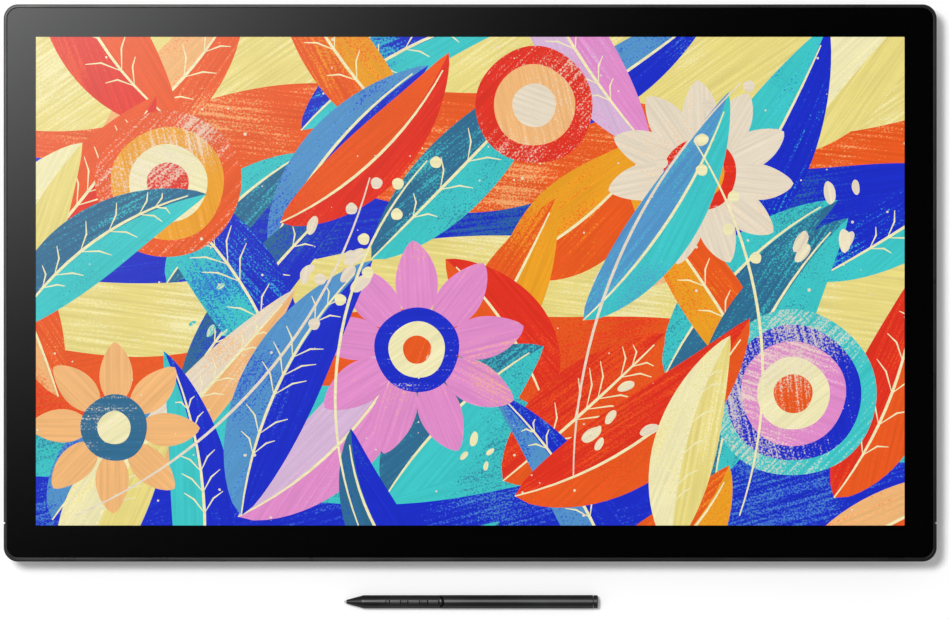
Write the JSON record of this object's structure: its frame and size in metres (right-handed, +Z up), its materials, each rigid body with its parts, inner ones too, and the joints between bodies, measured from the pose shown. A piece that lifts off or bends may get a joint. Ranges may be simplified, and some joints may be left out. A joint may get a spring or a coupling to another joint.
{
  "type": "pen display with pen",
  "caption": "Flat drawing tablet with a built-in widescreen display, fold-out rear legs and a slim side-switch pen, for drawing straight on the screen.",
  "frame": {"origin": "on the desk, under the middle of the tablet and pen taken together", "axes": "+X along the tablet's long side, +Y towards its top edge, +Z up out of the glass"},
  "size_m": [0.566, 0.3674, 0.023],
  "materials": {
    "etched_glass": "fine etched, anti-glare",
    "black_mask": "black print under glass",
    "black_gasket": "adhesive foam",
    "clear_bond": "clear",
    "screen_picture": null,
    "white_film": "satin",
    "light_guide": "clear acrylic",
    "white_moulding": "plain",
    "flex_amber": "plain",
    "led_yellow": "plain",
    "circuit_green": "solder mask",
    "plain_aluminium": "plain",
    "frame_metal": "dark anodised satin",
    "plain_steel": "zinc plated",
    "screw_steel": "plain",
    "screw_black": "black oxide",
    "chip_black": "plain",
    "plain_brass": "plain",
    "socket_steel": "plain",
    "button_metal": "dark anodised satin",
    "clear_lens": "frosted",
    "cover_black": "fine grain",
    "black_rubber": "matte",
    "leg_metal": "black anodised satin",
    "nib_grey": "hard plastic",
    "pen_charcoal": "soft satin",
    "pen_switch_grey": "satin",
    "ferrite_grey": "plain",
    "copper_wire": "enamelled"
  },
  "bodies": {
    "tablet": {"cover_glass": "etched_glass", "border_mask": "black_mask", "glass_gasket": "black_gasket", "optical_bond": "clear_bond", "lcd_panel": "screen_picture", "prism_film": "white_film", "diffuser_film": "white_film", "light_guide": "light_guide", "reflector_sheet": "white_film", "backlight_frame": "white_moulding", "led_strip": "led_yellow", "lcd_driver_board": "circuit_green", "lcd_flexes": "flex_amber", "sensor_board": "circuit_green", "shield_plate": "plain_aluminium", "front_frame": "frame_metal", "chassis_plate": "plain_steel", "chassis_screws": "screw_steel", "main_board": "circuit_green", "board_chips": "chip_black", "board_standoffs": "plain_brass", "board_screws": "screw_steel", "heat_spreader": "plain_aluminium", "display_flex": "flex_amber", "sensor_flex": "flex_amber", "usb_c_sockets": "socket_steel", "mini_hdmi_socket": "socket_steel", "lock_slot_plate": "plain_steel", "button_board": "circuit_green", "power_switch": "chip_black", "status_lens": "clear_lens", "rear_cover": "cover_black", "port_bay": "cover_black", "leg_pocket_left": "cover_black", "leg_pocket_right": "cover_black", "cover_screws": "screw_black", "mount_inserts": "plain_brass", "rubber_feet": "black_rubber", "hinge_pin_left": "screw_steel", "hinge_pin_right": "screw_steel"},
    "leg_left": {"leg_left": "leg_metal", "leg_pad_left": "black_rubber"},
    "leg_right": {"leg_right": "leg_metal", "leg_pad_right": "black_rubber"},
    "power_button": {"power_button": "button_metal"},
    "pen": {"pen_nose": "pen_charcoal", "pen_ferrite": "ferrite_grey", "pen_coil": "copper_wire", "pen_pressure_sensor": "chip_black", "pen_front_barrel": "pen_charcoal", "pen_mid_barrel": "pen_charcoal", "pen_rear_barrel": "pen_charcoal", "pen_tail_parts": "plain_brass", "pen_switch_bezel": "pen_switch_grey", "pen_switch_board": "circuit_green"},
    "pen_nib": {"pen_nib": "nib_grey"},
    "pen_eraser": {"pen_eraser": "pen_charcoal"},
    "pen_button_front": {"pen_button_front": "pen_switch_grey"},
    "pen_button_middle": {"pen_button_middle": "pen_switch_grey"},
    "pen_button_rear": {"pen_button_rear": "pen_switch_grey"}
  },
  "joints": [
    {"name": "left_leg_fold", "type": "hinge", "parent": "tablet", "child": "leg_left", "pos_m": [-0.19, 0.12671, 0.006], "axis": [1, 0, 0], "range_deg": [0, 80]},
    {"name": "right_leg_fold", "type": "hinge", "parent": "tablet", "child": "leg_right", "pos_m": [0.19, 0.12671, 0.006], "axis": [1, 0, 0], "range_deg": [0, 80]},
    {"name": "power_button_press", "type": "slide", "parent": "tablet", "child": "power_button", "axis": [0, -1, 0], "range_m": [0, 0.0005], "stiffness_N_per_m": 1500, "springref_m": -0.0005},
    {"name": "pen_lift", "type": "slide", "parent": "tablet", "child": "pen", "axis": [0, 0, 1], "range_m": [0, 0.15]},
    {"name": "pen_nib_press", "type": "slide", "parent": "pen", "child": "pen_nib", "axis": [1, 0, 0], "range_m": [0, 0.0004], "stiffness_N_per_m": 2000, "springref_m": -0.0003},
    {"name": "pen_front_button_press", "type": "slide", "parent": "pen", "child": "pen_button_front", "axis": [0, 0, -1], "range_m": [0, 0.00035], "stiffness_N_per_m": 1500, "springref_m": -0.0004},
    {"name": "pen_middle_button_press", "type": "slide", "parent": "pen", "child": "pen_button_middle", "axis": [0, 0, -1], "range_m": [0, 0.00035], "stiffness_N_per_m": 1500, "springref_m": -0.0004},
    {"name": "pen_rear_button_press", "type": "slide", "parent": "pen", "child": "pen_button_rear", "axis": [0, 0, -1], "range_m": [0, 0.00035], "stiffness_N_per_m": 1500, "springref_m": -0.0004},
    {"name": "pen_eraser_press", "type": "slide", "parent": "pen", "child": "pen_eraser", "axis": [-1, 0, 0], "range_m": [0, 0.0002], "stiffness_N_per_m": 1500, "springref_m": -0.0004}
  ]
}
